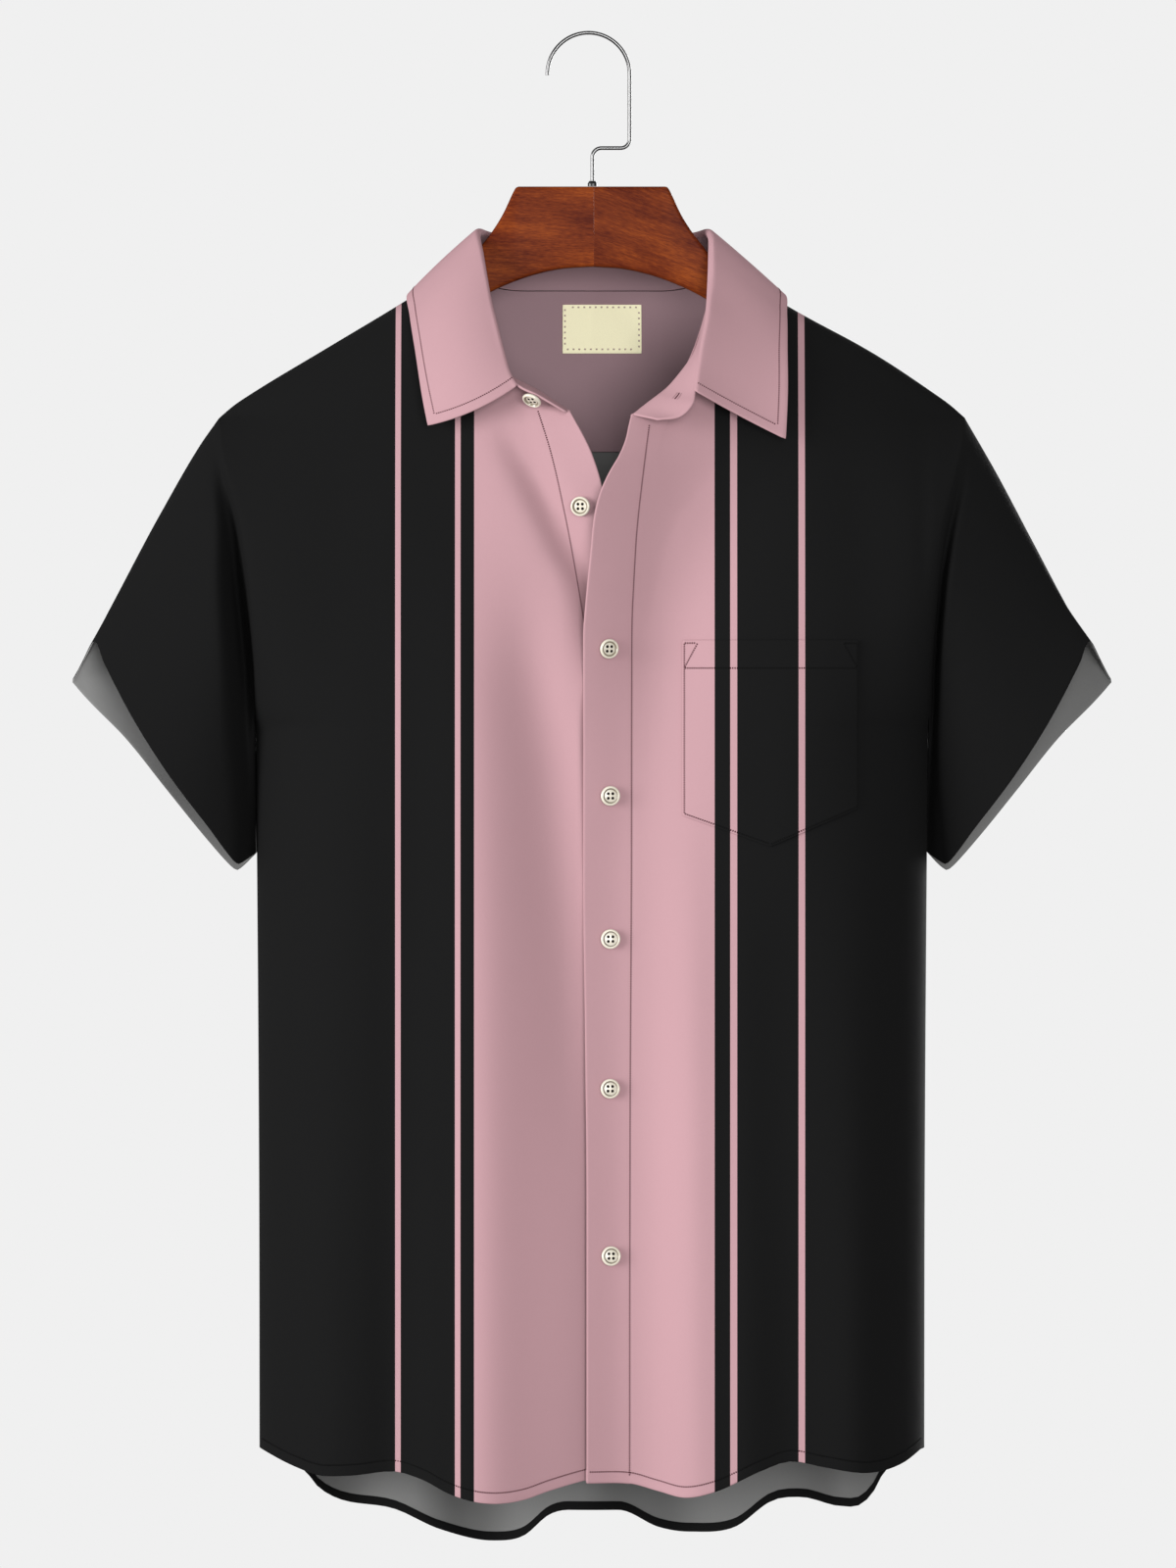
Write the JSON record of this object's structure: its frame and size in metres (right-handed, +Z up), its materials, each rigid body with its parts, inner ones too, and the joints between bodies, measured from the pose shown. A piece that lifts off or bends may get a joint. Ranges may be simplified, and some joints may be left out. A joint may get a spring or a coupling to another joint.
{
  "type": "bowling shirt on hanger",
  "caption": "Short-sleeved bowling shirt with a pointed collar on a stand, striped button front, patch pocket and waved hem, hanging buttoned on a flat wooden hanger with a wire hook.",
  "frame": {"origin": "inner face of the hook over the middle of the hanger, where a rail carries it", "axes": "+Z up, +X to the right of someone who faces the buttons, +Y from the front of the shirt to its back"},
  "size_m": [0.637, 0.1649, 0.9248],
  "materials": {
    "black_cloth": "matt",
    "pink_cloth": "matt",
    "label_cloth": "woven",
    "button_resin": "satin",
    "varnished_wood": "satin varnish",
    "chrome": "polished"
  },
  "bodies": {
    "root": {"front_left": "black_cloth", "front_right": "black_cloth", "back_panel": "black_cloth", "yoke_outer": "black_cloth", "yoke_inner": "pink_cloth", "sleeve_left": "black_cloth", "sleeve_right": "black_cloth", "collar_stand": "pink_cloth", "collar_leaf": "pink_cloth", "pocket": "black_cloth", "neck_label": "label_cloth", "button_1": "button_resin", "button_2": "button_resin", "button_3": "button_resin", "button_4": "button_resin", "button_5": "button_resin", "button_6": "button_resin", "button_7": "button_resin", "hanger_half_left": "varnished_wood", "hanger_half_right": "varnished_wood", "hanger_hook": "chrome", "hook_ferrule": "chrome"}
  },
  "joints": []
}
